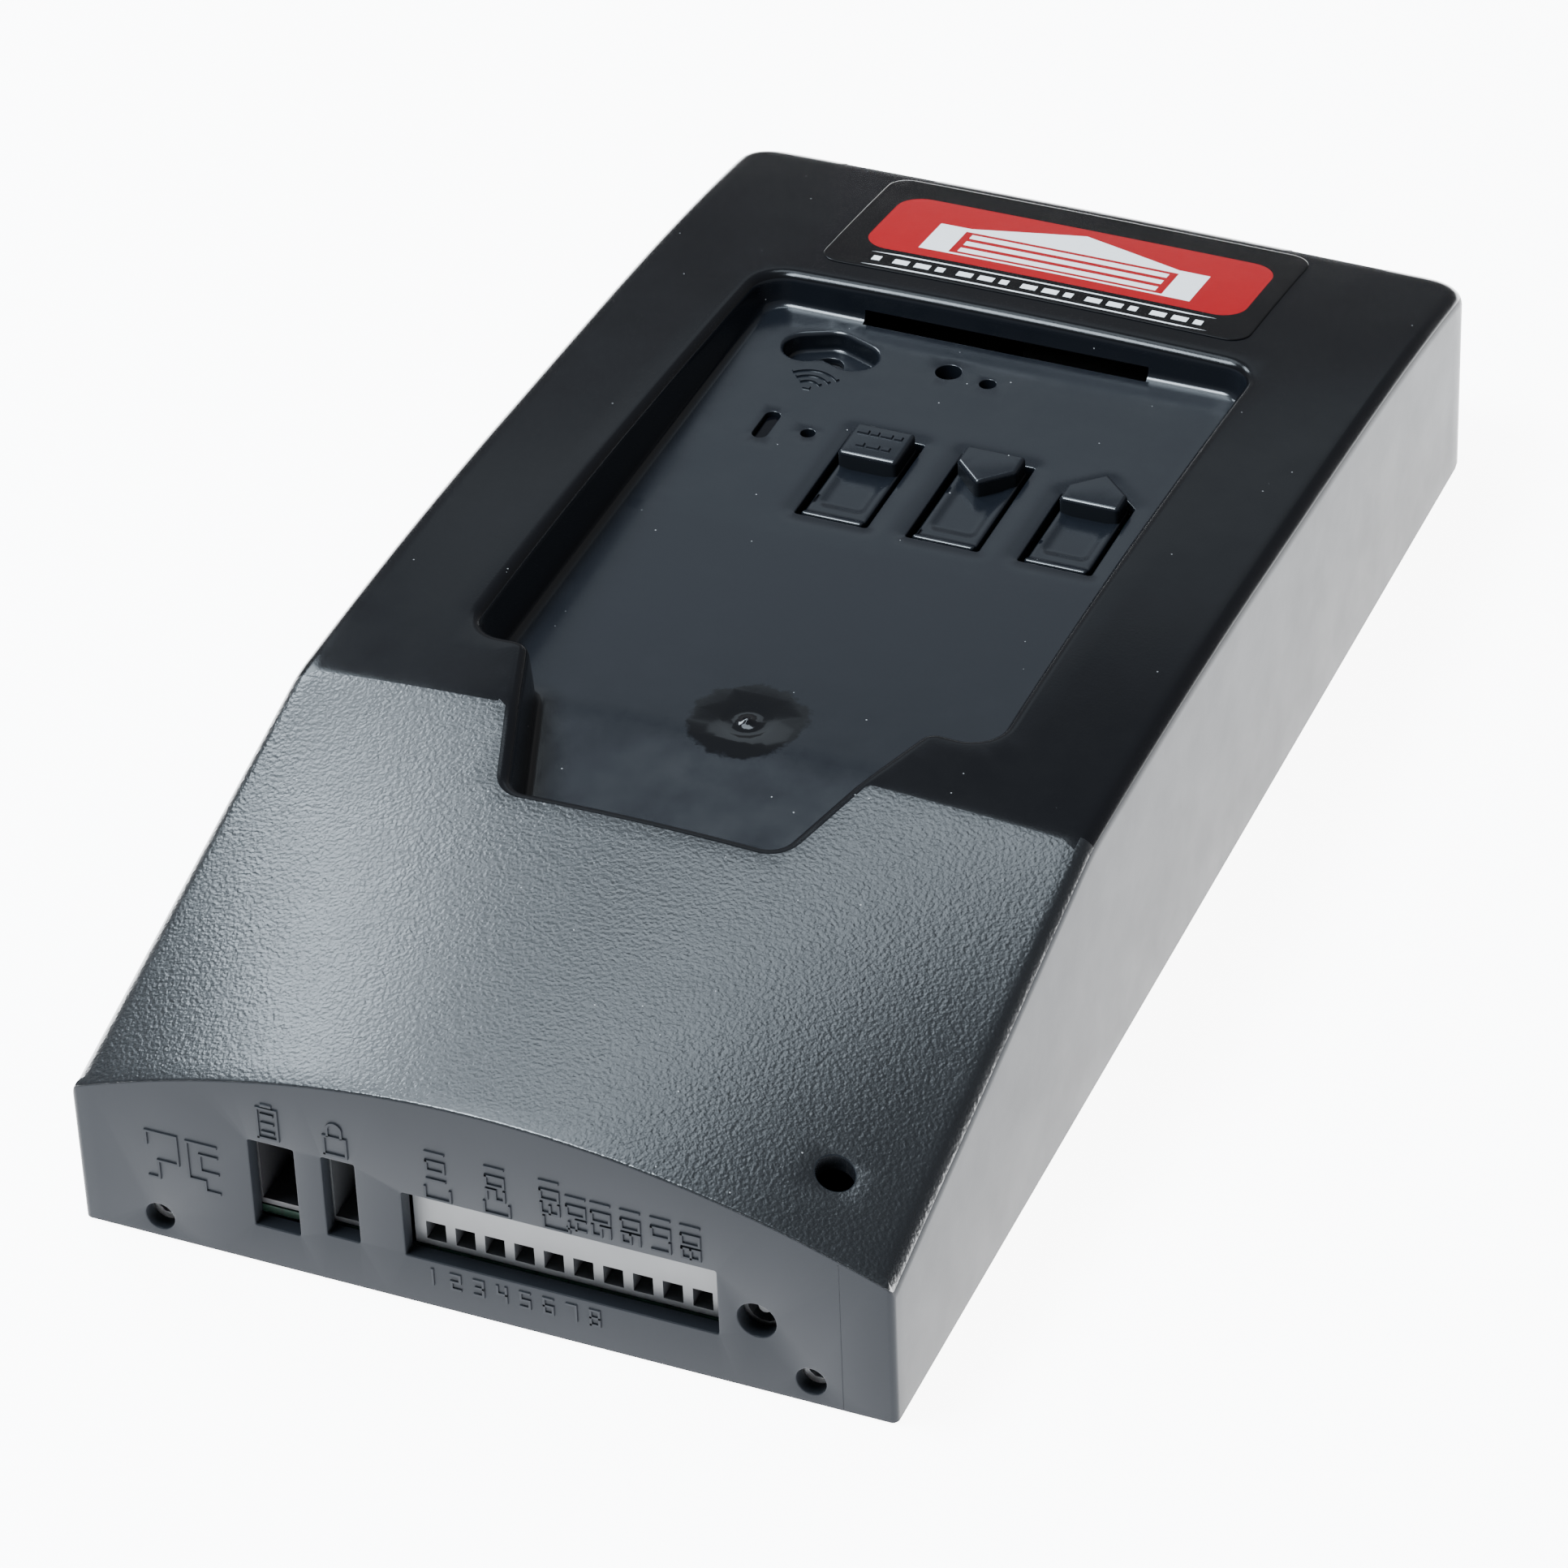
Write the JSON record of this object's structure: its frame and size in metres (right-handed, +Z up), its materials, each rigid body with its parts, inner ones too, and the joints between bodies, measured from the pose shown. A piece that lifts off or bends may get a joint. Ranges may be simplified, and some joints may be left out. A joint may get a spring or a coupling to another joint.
{
  "type": "garage door opener",
  "caption": "Low black power head of a garage door opener: sloped textured cover with a keypad recess and terminal openings over a steel base plate, worm gear drive and boards.",
  "frame": {"origin": "centre of the footprint at the underside of the base plate", "axes": "+Z up from the base plate to the cover's crown, +Y from the terminal end to the keypad end, +X across the cover"},
  "size_m": [0.141, 0.282, 0.0526],
  "materials": {
    "black_abs": "spark-eroded satin moulded plastic",
    "label_film": "satin printed film",
    "zinc_steel": "zinc plated",
    "green_board": "solder mask",
    "pale_nylon": "satin",
    "dark_plastic": "satin",
    "smoked_lens": "polished",
    "blue_case": "moulded",
    "raw_aluminium": "extruded",
    "copper_winding": "enamelled",
    "ferrite": "matte",
    "bronze": "sintered",
    "grey_nylon": "glass-filled nylon",
    "capacitor_sleeve": "heat-shrink sleeve",
    "grey_cable": "flat cable"
  },
  "bodies": {
    "housing": {"cover": "black_abs", "label": "label_film", "base_plate": "zinc_steel", "program_switch": "dark_plastic", "down_switch": "dark_plastic", "up_switch": "dark_plastic", "network_switch": "dark_plastic", "keypad_board": "green_board", "status_lens": "smoked_lens", "main_board": "green_board", "terminal_block": "pale_nylon", "lock_connector": "pale_nylon", "battery_connector": "dark_plastic", "power_jack": "pale_nylon", "open_relay": "blue_case", "close_relay": "blue_case", "heatsink": "raw_aluminium", "microcontroller": "dark_plastic", "buzzer": "dark_plastic", "radio_module": "zinc_steel", "board_screw_1": "zinc_steel", "board_screw_2": "zinc_steel", "board_screw_3": "zinc_steel", "board_screw_4": "zinc_steel", "motor_can": "zinc_steel", "motor_end_cap": "dark_plastic", "upper_magnet": "ferrite", "lower_magnet": "ferrite", "rear_brush": "ferrite", "front_brush": "ferrite", "front_motor_bush": "bronze", "rear_motor_bush": "bronze", "worm_end_bush": "bronze", "encoder_sensor": "dark_plastic", "gearbox_housing": "grey_nylon", "gearbox_cover": "grey_nylon", "gearbox_screw_1": "zinc_steel", "gearbox_screw_2": "zinc_steel", "lower_hub_bush": "bronze", "upper_hub_bush": "bronze", "transformer_core": "ferrite", "transformer_coil": "copper_winding", "power_board": "green_board", "smoothing_capacitor": "capacitor_sleeve", "ribbon_cable": "grey_cable"},
    "rotor": {"motor_shaft": "zinc_steel", "armature": "copper_winding", "commutator": "copper_winding", "worm": "zinc_steel", "encoder_wheel": "dark_plastic"},
    "output": {"worm_wheel": "pale_nylon", "output_hub": "zinc_steel", "hub_circlip": "zinc_steel"},
    "program_key": {"program_button": "black_abs"},
    "down_key": {"down_button": "black_abs"},
    "up_key": {"up_button": "black_abs"},
    "program_contact": {"program_plunger": "pale_nylon"},
    "down_contact": {"down_plunger": "pale_nylon"},
    "up_contact": {"up_plunger": "pale_nylon"},
    "network_contact": {"network_plunger": "pale_nylon"}
  },
  "joints": [
    {"name": "motor_spin", "type": "hinge", "parent": "housing", "child": "rotor", "pos_m": [0.022, -0.007, 0.0185], "axis": [1, 0, 0], "continuous": true},
    {"name": "output_spin", "type": "hinge", "parent": "housing", "child": "output", "pos_m": [0.022, 0.029, 0.0185], "axis": [0, 0, 1], "continuous": true},
    {"name": "program_press", "type": "hinge", "parent": "housing", "child": "program_key", "pos_m": [-0.009, 0.0292, 0.0387], "axis": [-1, 0, 0], "range_deg": [0, 1.25], "stiffness_Nm_per_rad": 1.8},
    {"name": "program_click", "type": "slide", "parent": "housing", "child": "program_contact", "axis": [0, 0, -1], "range_m": [0, 0.0003]},
    {"name": "down_press", "type": "hinge", "parent": "housing", "child": "down_key", "pos_m": [0.0116, 0.0292, 0.0387], "axis": [-1, 0, 0], "range_deg": [0, 1.25], "stiffness_Nm_per_rad": 1.8},
    {"name": "down_click", "type": "slide", "parent": "housing", "child": "down_contact", "axis": [0, 0, -1], "range_m": [0, 0.0003]},
    {"name": "up_press", "type": "hinge", "parent": "housing", "child": "up_key", "pos_m": [0.0322, 0.0292, 0.0387], "axis": [-1, 0, 0], "range_deg": [0, 1.25], "stiffness_Nm_per_rad": 1.8},
    {"name": "up_click", "type": "slide", "parent": "housing", "child": "up_contact", "axis": [0, 0, -1], "range_m": [0, 0.0003]},
    {"name": "network_click", "type": "slide", "parent": "housing", "child": "network_contact", "axis": [0, 0, -1], "range_m": [0, 0.00025], "stiffness_N_per_m": 1500}
  ],
  "couplings": [
    {"joint": "output_spin", "follows": "motor_spin", "ratio": -0.025},
    {"joint": "program_click", "follows": "program_press", "m_per_rad": 0.0115},
    {"joint": "down_click", "follows": "down_press", "m_per_rad": 0.0115},
    {"joint": "up_click", "follows": "up_press", "m_per_rad": 0.0115}
  ]
}
